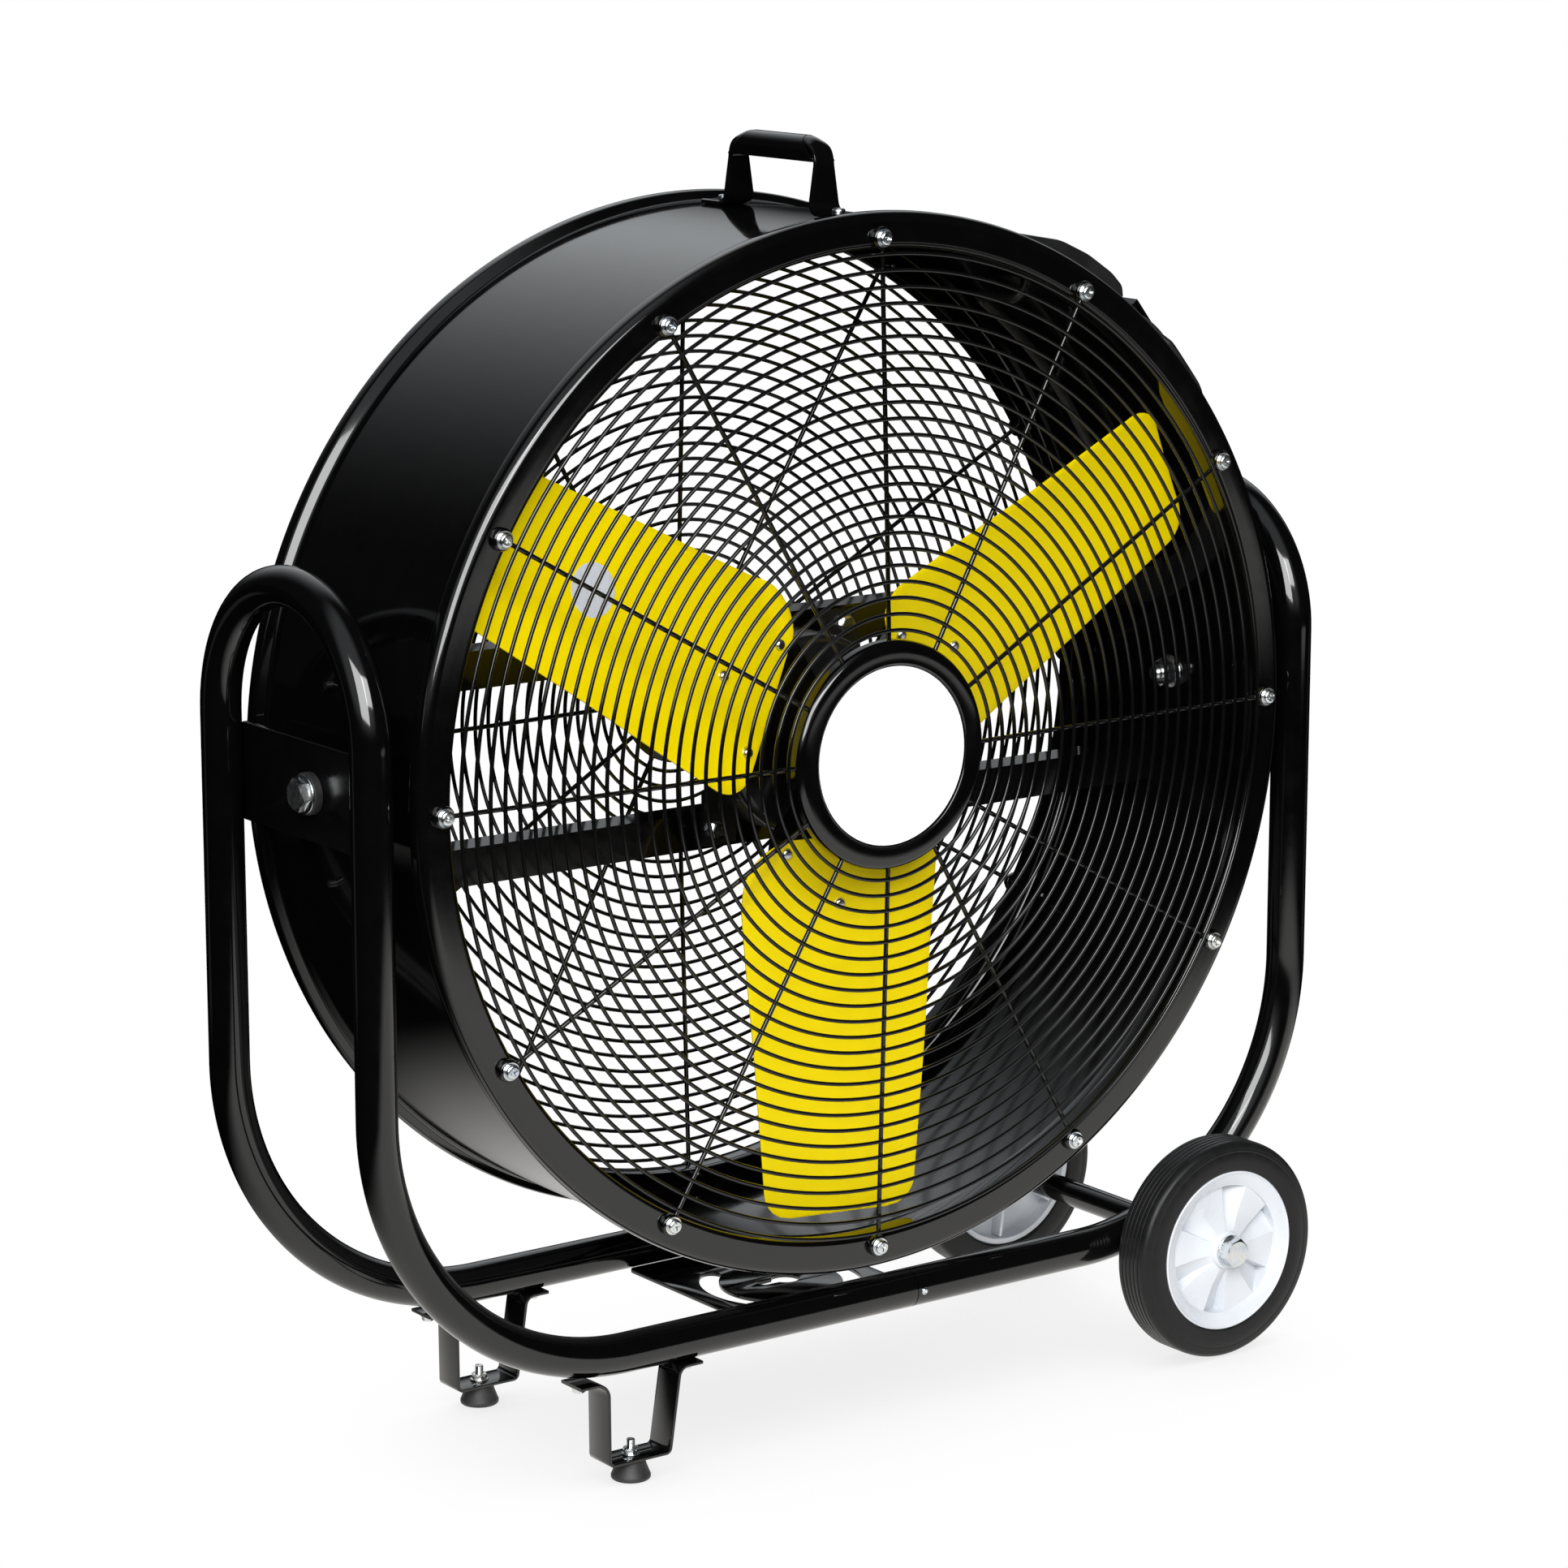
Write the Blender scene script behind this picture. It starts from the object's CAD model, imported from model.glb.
"""A drum fan in a bent tube cradle with two wheels and two rubber feet.

The fan's axis runs along y at height AXIS_Z and its front faces -y. Left is -x and the
wheels are at +x. Shapes are worked out in mm and turned into metres as meshes are made.
"""
import math
import bpy
import bmesh
import numpy as np
from mathutils import Matrix, Vector


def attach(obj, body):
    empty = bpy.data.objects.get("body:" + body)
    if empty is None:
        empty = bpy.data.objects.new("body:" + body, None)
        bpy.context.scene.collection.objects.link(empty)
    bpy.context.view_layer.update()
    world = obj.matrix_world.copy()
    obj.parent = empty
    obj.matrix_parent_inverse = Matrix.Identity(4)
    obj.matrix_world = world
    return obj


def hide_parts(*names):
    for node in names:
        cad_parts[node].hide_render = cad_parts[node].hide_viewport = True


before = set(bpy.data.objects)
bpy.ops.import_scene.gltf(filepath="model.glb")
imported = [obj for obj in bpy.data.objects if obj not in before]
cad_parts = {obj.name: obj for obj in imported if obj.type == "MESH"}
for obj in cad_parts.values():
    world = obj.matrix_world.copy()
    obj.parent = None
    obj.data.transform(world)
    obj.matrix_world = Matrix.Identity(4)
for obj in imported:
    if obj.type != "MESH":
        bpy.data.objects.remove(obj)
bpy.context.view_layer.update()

# ---------------------------------------------------------------- driving sizes, in mm
AXIS_Z = 628.0
DRUM_R = 468.0
DRUM_HALF = 146.0  # half the drum's depth
BEAD_R = 477.0  # rolled bead at each rim
SHEET = 2.0
SCREW_RING_R = 455.0
CAP_R = 103.0

GRILLE_OUT_R, GRILLE_OUT_Z = 441.0, 149.5
GRILLE_IN_R, GRILLE_IN_Z = 112.0, 161.0
RING_R = 1.8
SPOKE_R = 2.1
SPOKES = 12
FRONT_RINGS = 24
REAR_RINGS = 27

TUBE_R = 18.0
SIDE_X = 510.0  # the cradle's upright sides
RAIL_Y, RAIL_Z = 124.0, 117.0
BEND_R = 250.0
LOOP_Z = 683.0
SEAM_X = 52.0
SEAM_GAP = 0.9

AXLE_X = 390.0
WHEEL_R = 105.5
HUB_R = 77.0
WHEEL_W = 43.0
WHEEL_Y = 187.0  # outer face
FOOT_X = -255.0

PIVOT_PLATE_X = 490.5
WASHER_X = 501.0
PIVOT_NUT_X = 465.6

BLADE_Z = 88.0  # in front of the drum's middle
BLADE_PITCH = 12.0  # degrees
TIP_R, ROOT_R = 438.0, 86.0

# degrees round the drum from its top, clockwise from the front
BOX_ANGLE = 34.0
COIL_ANGLE = 51.5
COIL_Y = -55.0
CORD_R = 4.4


# ---------------------------------------------------------------- placing
def move(x, y, z):
    return Matrix.Translation((x, y, z))


def turn(degrees, axis):
    return Matrix.Rotation(math.radians(degrees), 4, axis)


IDENTITY = Matrix()
MIRROR_X = Matrix.Diagonal((-1, 1, 1, 1))
MIRROR_Y = Matrix.Diagonal((1, -1, 1, 1))
MIRROR_Z = Matrix.Diagonal((1, 1, -1, 1))
SIDES = (("left", IDENTITY), ("right", MIRROR_X))
# local z runs along the fan's axis, out of the front or out of the back
FRONT = move(0, 0, AXIS_Z) @ turn(90, "X")
BACK = FRONT @ MIRROR_Z


def round_drum(degrees):
    """Frame on the fan's axis whose z points out through the wall at this angle."""
    return move(0, 0, AXIS_Z) @ turn(degrees, "Y")


def moved(shell, matrix):
    verts, faces = shell
    m = np.array(matrix, float)
    return np.array(verts, float).reshape(-1, 3) @ m[:3, :3].T + m[:3, 3], faces


def link_object(name, data):
    obj = bpy.data.objects.new(name, data)
    bpy.context.scene.collection.objects.link(obj)
    return obj


class Part:
    """Collects closed shells (verts, faces) in mm and turns them into one object."""

    def __init__(self):
        self.verts, self.faces, self.count = [], [], 0

    def add(self, shell, place=IDENTITY):
        verts, faces = moved(shell, place)
        self.verts.append(verts)
        self.faces.extend([tuple(i + self.count for i in face) for face in faces])
        self.count += len(verts)
        return self

    def mesh(self, name, angle=35.0):
        """Smooth mesh whose edges are sharp above the angle."""
        mesh = bpy.data.meshes.new(name)
        mesh.from_pydata((np.vstack(self.verts) * 0.001).tolist(), [], self.faces)
        bm = bmesh.new()
        bm.from_mesh(mesh)
        bmesh.ops.recalc_face_normals(bm, faces=bm.faces)
        bm.to_mesh(mesh)
        bm.free()
        mesh.polygons.foreach_set("use_smooth", [True] * len(mesh.polygons))
        mesh.set_sharp_from_angle(angle=math.radians(angle))
        return mesh

    def make(self, name, body, material, node=None, angle=35.0):
        """Object riding on a body; node is the CAD piece it stands in for."""
        obj = link_object(name, self.mesh(name, angle))
        obj.data.materials.append(MATERIALS[material])
        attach(obj, body)
        if node:
            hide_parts(node)


# ---------------------------------------------------------------- outlines and paths
def smooth(start, end, value):
    t = min(1.0, max(0.0, (value - start) / (end - start)))
    return t * t * (3 - 2 * t)


def polar(radius, degrees):
    return radius * math.cos(math.radians(degrees)), radius * math.sin(math.radians(degrees))


def arc(cx, cy, radius, start, end, steps):
    points = [polar(radius, start + (end - start) * i / steps) for i in range(steps + 1)]
    return [(cx + x, cy + y) for x, y in points]


def circle(radius, count):
    angles = [2 * math.pi * k / count for k in range(count)]
    return [(radius * math.cos(a), radius * math.sin(a)) for a in angles]


def rounded_rect(width, height, radius, steps):
    """Counter-clockwise outline."""
    x, y = width / 2 - radius, height / 2 - radius
    corners = ((x, y), (-x, y), (-x, -y), (x, -y))
    return [
        point
        for i, (cx, cy) in enumerate(corners)
        for point in arc(cx, cy, radius, 90 * i, 90 * (i + 1), steps)
    ]


def smoothed(points, radii, steps=10):
    """Polyline with its corners turned into arcs, one radius per inner corner."""
    points = [Vector(p) for p in points]
    out = [points[0]]
    for before, corner, after, radius in zip(points, points[1:], points[2:], radii):
        to_before, to_after = (before - corner).normalized(), (after - corner).normalized()
        half = to_before.angle(to_after) / 2
        cut = radius / math.tan(half)
        centre = corner + (to_before + to_after).normalized() * (radius / math.sin(half))
        start = corner + to_before * cut - centre
        end = corner + to_after * cut - centre
        axis = start.cross(end).normalized()
        total = start.angle(end)
        for k in range(steps + 1):
            out.append(centre + Matrix.Rotation(total * k / steps, 3, axis) @ start)
    out.append(points[-1])
    return out


def path_frames(path, up):
    """Point and two cross axes at each step, turning as little as possible."""
    points = [Vector(p) for p in path]
    last = len(points) - 1
    tangents = [
        (points[min(i + 1, last)] - points[max(i - 1, 0)]).normalized() for i in range(last + 1)
    ]
    side = Vector(up)
    side = (side - tangents[0] * side.dot(tangents[0])).normalized()
    out = []
    for i, (point, tangent) in enumerate(zip(points, tangents)):
        if i:
            side = tangents[i - 1].rotation_difference(tangent) @ side
            side = (side - tangent * side.dot(tangent)).normalized()
        out.append((point, side, tangent.cross(side)))
    return out


# ---------------------------------------------------------------- shells
def skin(rows, closed=False):
    """Joins rows of points, each a closed loop; a row of one point is a pole."""
    verts, faces, index = [], [], []
    for row in rows:
        index.append(list(range(len(verts), len(verts) + len(row))))
        verts.extend(row)
    width = max(len(r) for r in index)
    for i in range(len(rows) if closed else len(rows) - 1):
        row, after = index[i], index[(i + 1) % len(rows)]
        if len(row) == 1 and len(after) == 1:
            continue
        for k in range(width):
            k2 = (k + 1) % width
            if len(row) == 1:
                faces.append((row[0], after[k], after[k2]))
            elif len(after) == 1:
                faces.append((row[k], after[0], row[k2]))
            else:
                faces.append((row[k], after[k], after[k2], row[k2]))
    return verts, faces


def capped(rows):
    """Skin with a flat face over each end."""
    verts, faces = skin(rows)
    width = len(rows[0])
    faces.append(tuple(range(width))[::-1])
    faces.append(tuple(range(len(verts) - width, len(verts))))
    return verts, faces


def place_section(frame_at, section):
    """Section of (side, cross) points set into one path frame."""
    point, side, cross = frame_at
    return [tuple(point + side * a + cross * b) for a, b in section]


def sweep(path, section, up):
    return capped([place_section(f, section) for f in path_frames(path, up)])


def lathe(profile, segments):
    """Closed (radius, z) profile turned about z, repeated points dropped."""

    def apart(p, q):
        return abs(p[0] - q[0]) + abs(p[1] - q[1])

    clean = []
    for p in profile:
        if not clean or apart(p, clean[-1]) > 1e-4:
            clean.append(p)
    if apart(clean[0], clean[-1]) < 1e-4:
        clean.pop()
    unit = circle(1.0, segments)
    rows = [[(0, 0, z)] if r < 1e-6 else [(r * x, r * y, z) for x, y in unit] for r, z in clean]
    return skin(rows, closed=True)


def torus(radius, wire_r, segments, sides):
    return lathe([(radius + x, y) for x, y in circle(wire_r, sides)], segments)


def rod(start, end, radius, sides=16):
    """Round bar between two points, with eased ends."""
    start, end = Vector(start), Vector(end)
    length = (end - start).length
    ease = min(radius * 0.25, length / 3)
    profile = [(0, 0), (radius - ease, 0), (radius, ease)]
    profile += [(radius, length - ease), (radius - ease, length), (0, length)]
    aim = (end - start).to_track_quat("Z", "Y").to_matrix().to_4x4()
    return moved(lathe(profile, sides), move(*start) @ aim)


def evaluated_mesh(obj):
    bpy.context.view_layer.update()
    return bpy.data.meshes.new_from_object(
        obj.evaluated_get(bpy.context.evaluated_depsgraph_get())
    )


def plate(outer, holes, thickness, bevel, steps=2):
    """Flat plate of any outline with holes and eased edges, centred on z = 0."""
    curve = bpy.data.curves.new("tmp_plate", "CURVE")
    curve.dimensions, curve.fill_mode = "2D", "BOTH"
    for loop in [outer] + list(holes):
        spline = curve.splines.new("POLY")
        spline.points.add(len(loop) - 1)
        for i, (x, y) in enumerate(loop):
            spline.points[i].co = (x, y, 0, 1)
        spline.use_cyclic_u = True
    curve.extrude = thickness / 2 - bevel
    curve.bevel_depth, curve.bevel_resolution, curve.offset = bevel, steps, -bevel
    obj = link_object("tmp_plate", curve)
    bpy.context.view_layer.update()
    mesh = evaluated_mesh(obj)
    bm = bmesh.new()
    bm.from_mesh(mesh)
    bmesh.ops.remove_doubles(bm, verts=bm.verts, dist=0.004)
    verts = [tuple(v.co) for v in bm.verts]
    faces = [tuple(v.index for v in f.verts) for f in bm.faces]
    bm.free()
    bpy.data.objects.remove(obj)
    bpy.data.curves.remove(curve)
    bpy.data.meshes.remove(mesh)
    return verts, faces


def hexnut(flats, height, bore=0.0, dome=0.0, foot=0.0, chamfer=0.93):
    """Hexagon with chamfer arcs; foot is the radius of a conical flange below."""
    segments = 72
    unit = circle(1.0, segments)
    sixth = math.pi / 3
    hex_r = [
        flats / 2 / math.cos((2 * math.pi * k / segments) % sixth - sixth / 2)
        for k in range(segments)
    ]
    crown_r = flats / 2 * chamfer

    def ring(radius, z):
        return [(radius * x, radius * y, z) for x, y in unit]

    def hexagon(inset, z):
        return [((r - inset) * x, (r - inset) * y, z) for r, (x, y) in zip(hex_r, unit)]

    if bore:
        rows = [ring(bore, height)]
    else:
        rows = [[(0, 0, height + dome)]]
        if dome:
            for k in range(1, 6):
                rows.append(ring(crown_r * k / 6, height + dome * (1 - (k / 6) ** 2)))
    rows.append(ring(crown_r, height))
    rows.append(
        [(r * x, r * y, height - (r - crown_r) * 0.58) for r, (x, y) in zip(hex_r, unit)]
    )
    if foot:
        rows.append(hexagon(0, 3.0))
        for inset, z in ((2.6, 2.6), (0.5, 1.7), (0, 1.1), (0, 0.3), (0.4, 0)):
            rows.append(ring(foot - inset, z))
    else:
        rows += [hexagon(0, 0.5), hexagon(0.5, 0)]
    rows.append(ring(bore, 0) if bore else [(0, 0, 0)])
    return skin(rows, closed=bool(bore))


def thread(radius, length, pitch=1.25, depth=0.45, sides=20, end_inset=0.5):
    """Threaded rod along z from 0 to its length."""
    steps = int(length / pitch * 4)
    rows = [[(0, 0, 0)]]
    for i in range(steps + 1):
        z = length * i / steps
        row = []
        for k, (x, y) in enumerate(circle(1.0, sides)):
            phase = (z / pitch - k / sides) % 1.0
            cut = end_inset if i in (0, steps) else depth * (1 - abs(2 * phase - 1))
            row.append(((radius - cut) * x, (radius - cut) * y, z))
        rows.append(row)
    rows.append([(0, 0, length)])
    return skin(rows)


def cross_head(radius, height):
    """Pan-head screw head with a cruciform recess, cut with a boolean."""
    crown = height * 0.58
    shoulder = height * 0.42
    profile = [(0, 0), (radius - 0.3, 0), (radius, 0.3), (radius, shoulder)]
    profile += arc(radius - crown, shoulder, crown, 12, 90, 6) + [(0, height)]
    head, cutter = Part().add(lathe(profile, 40)), Part()
    half_w = radius * 0.2 / 2
    verts = []
    for z, x in ((height + 0.6, radius * 0.66), (height * 0.38, radius * 0.26)):
        verts += [(-x, -half_w, z), (x, -half_w, z), (x, half_w, z), (-x, half_w, z)]
    faces = [(0, 1, 2, 3), (7, 6, 5, 4)]
    faces += [(0, 4, 5, 1), (1, 5, 6, 2), (2, 6, 7, 3), (3, 7, 4, 0)]
    for angle in (0, 90):
        cutter.add((verts, faces), turn(angle + 20, "Z"))
    head_obj = link_object("tmp_head", head.mesh("tmp_head"))
    cut_obj = link_object("tmp_cut", cutter.mesh("tmp_cut"))
    cut = head_obj.modifiers.new("b", "BOOLEAN")
    cut.operation, cut.solver, cut.object, cut.use_self = "DIFFERENCE", "EXACT", cut_obj, True
    mesh = evaluated_mesh(head_obj)
    verts = [tuple(v.co * 1000) for v in mesh.vertices]
    faces = [tuple(p.vertices) for p in mesh.polygons]
    for obj in (head_obj, cut_obj):
        data = obj.data
        bpy.data.objects.remove(obj)
        bpy.data.meshes.remove(data)
    bpy.data.meshes.remove(mesh)
    return verts, faces


# ---------------------------------------------------------------- shader helpers
def srgb(*channels):
    """Linear colour from 0-255 channels."""
    unit = [c / 255 for c in channels]
    return tuple(c / 12.92 if c <= 0.04045 else ((c + 0.055) / 1.055) ** 2.4 for c in unit)


class Shader:
    """An emptied node tree. A value may be a number, an rgb colour or an output socket."""

    def __init__(self, owner, output="ShaderNodeOutputMaterial"):
        owner.use_nodes = True
        self.tree = owner.node_tree
        self.tree.nodes.clear()
        self.output = self.node(output).inputs["Surface"]

    def node(self, kind, **settings):
        node = self.tree.nodes.new(kind)
        for key, value in settings.items():
            setattr(node, key, value)
        return node

    def put(self, socket, value):
        if hasattr(value, "is_output"):
            self.tree.links.new(value, socket)
        else:
            socket.default_value = (*value, 1.0) if socket.type == "RGBA" else value

    def remap(self, value, start, end, low, high, **settings):
        node = self.node("ShaderNodeMapRange", **settings)
        self.put(node.inputs["Value"], value)
        limits = {"From Min": start, "From Max": end, "To Min": low, "To Max": high}
        for key, limit in limits.items():
            node.inputs[key].default_value = limit
        return node.outputs[0]

    def step(self, value, start, end, low=0.0, high=1.0):
        return self.remap(value, start, end, low, high, interpolation_type="SMOOTHSTEP")

    def math(self, operation, a, b=0.0):
        node = self.node("ShaderNodeMath", operation=operation)
        self.put(node.inputs[0], a)
        self.put(node.inputs[1], b)
        return node.outputs[0]

    def times(self, first, *rest):
        for value in rest:
            first = self.math("MULTIPLY", first, value)
        return first

    def plus(self, first, *rest):
        for value in rest:
            first = self.math("ADD", first, value)
        return first

    def xyz(self, vector):
        node = self.node("ShaderNodeSeparateXYZ")
        self.put(node.inputs[0], vector)
        return node.outputs

    def split_by_ray(self, seen, reflected):
        """The camera gets one shader, every other ray the other."""
        mix = self.node("ShaderNodeMixShader")
        path = self.node("ShaderNodeLightPath")
        self.put(mix.inputs[0], path.outputs["Is Camera Ray"])
        self.put(mix.inputs[1], reflected.outputs[0])
        self.put(mix.inputs[2], seen.outputs[0])
        self.put(self.output, mix.outputs[0])


class Material(Shader):
    """A principled surface textured in object space."""

    def __init__(self, name):
        self.material = bpy.data.materials.new(name)
        super().__init__(self.material)
        self.bsdf = self.node("ShaderNodeBsdfPrincipled")
        self.put(self.output, self.bsdf.outputs[0])
        self.coords = self.node("ShaderNodeTexCoord").outputs["Object"]
        self.normal = None

    def texture(self, kind, vector, settings, **inputs):
        node = self.node(kind, **settings)
        for key, value in inputs.items():
            node.inputs[key.title()].default_value = value
        self.put(node.inputs["Vector"], vector)
        return node.outputs

    def mapped(self, stretch=(1, 1, 1)):
        mapping = self.node("ShaderNodeMapping")
        mapping.inputs["Scale"].default_value = stretch
        self.put(mapping.inputs["Vector"], self.coords)
        return mapping.outputs[0]

    def noise(self, scale, detail=2, roughness=0.5, stretch=(1, 1, 1)):
        return self.texture(
            "ShaderNodeTexNoise", self.mapped(stretch), {},
            scale=scale, detail=detail, roughness=roughness,
        )["Fac"]

    def cells(self, scale):
        return self.texture("ShaderNodeTexVoronoi", self.mapped(), {}, scale=scale)

    def wave(self, scale, distortion, **settings):
        return self.texture(
            "ShaderNodeTexWave", self.coords, settings, scale=scale, distortion=distortion
        )["Fac"]

    def ramp(self, source, *colors, stops=(0.3, 0.7)):
        node = self.node("ShaderNodeValToRGB")
        elements = node.color_ramp.elements
        while len(elements) < len(stops):
            elements.new(0.5)
        for element, position, color in zip(elements, stops, colors):
            element.position = position
            element.color = (*color, 1.0)
        self.put(node.inputs[0], source)
        return node.outputs[0]

    def span(self, source, low, high, start=0.3, end=0.7):
        return self.remap(source, start, end, low, high)

    def mix(self, factor, a, b):
        node = self.node("ShaderNodeMix", data_type="RGBA", blend_type="MIX")
        for i, value in ((0, factor), (6, a), (7, b)):
            self.put(node.inputs[i], value)
        return node.outputs[2]

    def surface(self, **values):
        """Principled inputs by name: base_color sets "Base Color"."""
        for key, value in values.items():
            name = key.replace("_", " ").title().replace("Ior", "IOR")
            self.put(self.bsdf.inputs[name], value)

    def bump(self, source, distance, strength):
        """Adds a bump on top of those before it."""
        node = self.node("ShaderNodeBump")
        node.inputs["Distance"].default_value = distance
        node.inputs["Strength"].default_value = strength
        self.put(node.inputs["Height"], source)
        if self.normal is not None:
            self.put(node.inputs["Normal"], self.normal)
        self.normal = node.outputs[0]
        self.put(self.bsdf.inputs["Normal"], self.normal)


# ---------------------------------------------------------------- materials
# two colours are the low and high end of a mottle; a roughness pair is its range
def powder(name, dark, light, roughness, coat, coat_roughness, peel=4e-6, specular=0.5):
    """Baked black coat: faint orange peel, slow colour drift, soft spots in the gloss."""
    mat = Material(name)
    broad = mat.noise(scale=2.6)
    mid = mat.noise(scale=38.0, detail=4, roughness=0.6)
    color = mat.ramp(broad, dark, light)
    lifted = tuple(c * 1.5 for c in light)
    mat.surface(
        base_color=mat.mix(mat.span(mid, low=0.0, high=0.35), color, lifted),
        roughness=mat.span(mid, *roughness),
        specular_ior_level=specular,
        coat_weight=coat,
        coat_roughness=mat.span(broad, low=coat_roughness * 0.8, high=coat_roughness * 1.3),
    )
    mat.bump(mat.noise(scale=210.0, roughness=0.4), distance=peel * 2.2, strength=0.5)
    mat.bump(mat.noise(scale=620.0), distance=peel, strength=0.5)
    return mat.material


def yellow_coat():
    mat = Material("yellow_blade_coat")
    broad = mat.noise(scale=3.2)
    mid = mat.noise(scale=55.0, detail=4, roughness=0.6)
    color = mat.ramp(broad, (0.86, 0.67, 0.0), (0.91, 0.72, 0.0))
    mat.surface(
        base_color=mat.mix(mat.span(mid, low=0.0, high=0.14), color, (0.80, 0.60, 0.0)),
        roughness=mat.span(mid, low=0.34, high=0.46),
        specular_ior_level=0.14,
        coat_weight=0.02,
        coat_roughness=0.3,
    )
    mat.bump(mat.noise(scale=520.0), distance=12e-6, strength=0.6)
    return mat.material


def zinc():
    """Spangled plating, from bluish to faintly yellow."""
    mat = Material("zinc_plate")
    spangle = mat.cells(scale=900.0)["Color"]
    grain = mat.noise(scale=160.0, detail=4, roughness=0.6)
    tint = mat.noise(scale=60.0)
    color = mat.ramp(
        tint, (0.62, 0.68, 0.73), (0.74, 0.76, 0.77), (0.78, 0.77, 0.70), stops=(0.3, 0.5, 0.72)
    )
    grey = mat.node("ShaderNodeRGBToBW")
    mat.put(grey.inputs[0], spangle)
    amount = mat.span(grey.outputs[0], low=0.0, high=0.28, start=0.2, end=0.9)
    mat.surface(
        base_color=mat.mix(amount, color, (0.55, 0.58, 0.61)),
        metallic=1.0,
        roughness=mat.span(grain, low=0.16, high=0.30),
    )
    mat.bump(grain, distance=20e-6, strength=0.4)
    return mat.material


def drawn_metal(name, dark, light, roughness, scale, stretch):
    mat = Material(name)
    grain = mat.noise(scale=scale, detail=3, stretch=stretch)
    mat.surface(
        base_color=mat.ramp(grain, dark, light),
        metallic=1.0,
        roughness=mat.span(grain, *roughness),
    )
    mat.bump(grain, distance=20e-6, strength=0.4)
    return mat.material


def white_plastic():
    mat = Material("white_moulded_plastic")
    broad, fine = mat.noise(scale=18.0, detail=3), mat.noise(scale=900.0)
    mat.surface(
        base_color=mat.ramp(broad, srgb(199, 203, 209), srgb(209, 213, 218)),
        roughness=mat.span(broad, low=0.26, high=0.36),
        subsurface_weight=0.12,
        subsurface_radius=(0.004, 0.004, 0.004),
        subsurface_scale=1.0,
        specular_ior_level=0.45,
    )
    mat.bump(fine, distance=8e-6, strength=0.5)
    return mat.material


def tyre_rubber():
    mat = Material("tyre_rubber")
    mid = mat.noise(scale=70.0, detail=5, roughness=0.6)
    fine = mat.noise(scale=1400.0, detail=3, roughness=0.6)
    dark, light = (0.0050, 0.0052, 0.0055), (0.0088, 0.0090, 0.0093)
    mat.surface(
        base_color=mat.ramp(mid, dark, light, stops=(0.25, 0.75)),
        roughness=mat.span(mid, low=0.34, high=0.46),
        specular_ior_level=0.24,
        sheen_weight=0.02,
        sheen_roughness=0.5,
    )
    mat.bump(mid, distance=50e-6, strength=0.4)
    mat.bump(fine, distance=20e-6, strength=0.5)
    return mat.material


def soft_black(name, dark, light, roughness, mottle, fine_scale, bump):
    """Rubber or cable jacket; mottle and bump are settings for the noise and the bump."""
    mat = Material(name)
    mid, fine = mat.noise(**mottle), mat.noise(scale=fine_scale)
    mat.surface(base_color=mat.ramp(mid, dark, light), roughness=mat.span(mid, *roughness))
    mat.bump(fine, **bump)
    return mat.material


def black_plastic():
    mat = Material("black_moulded_plastic")
    pebble = mat.cells(scale=1500.0)["Distance"]
    mid = mat.noise(scale=30.0, detail=3)
    mat.surface(
        base_color=mat.ramp(mid, (0.0095, 0.0095, 0.010), (0.0145, 0.0143, 0.014)),
        roughness=mat.span(mid, low=0.30, high=0.40),
        coat_weight=0.1,
        coat_roughness=0.2,
    )
    mat.bump(pebble, distance=40e-6, strength=0.35)
    return mat.material


def film(name, dark, light, roughness, **coat):
    mat = Material(name)
    grain = mat.noise(scale=240.0, detail=3)
    mat.surface(
        base_color=mat.ramp(grain, dark, light), roughness=mat.span(grain, *roughness), **coat
    )
    mat.bump(grain, distance=10e-6, strength=0.4)
    return mat.material


def striped_metal(name, dark, light, roughness, wave, bump):
    mat = Material(name)
    stripes = mat.wave(**wave)
    mat.surface(
        base_color=mat.ramp(stripes, dark, light, stops=(0.2, 0.8)),
        metallic=1.0,
        roughness=roughness,
    )
    mat.bump(stripes, **bump)
    return mat.material


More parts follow.
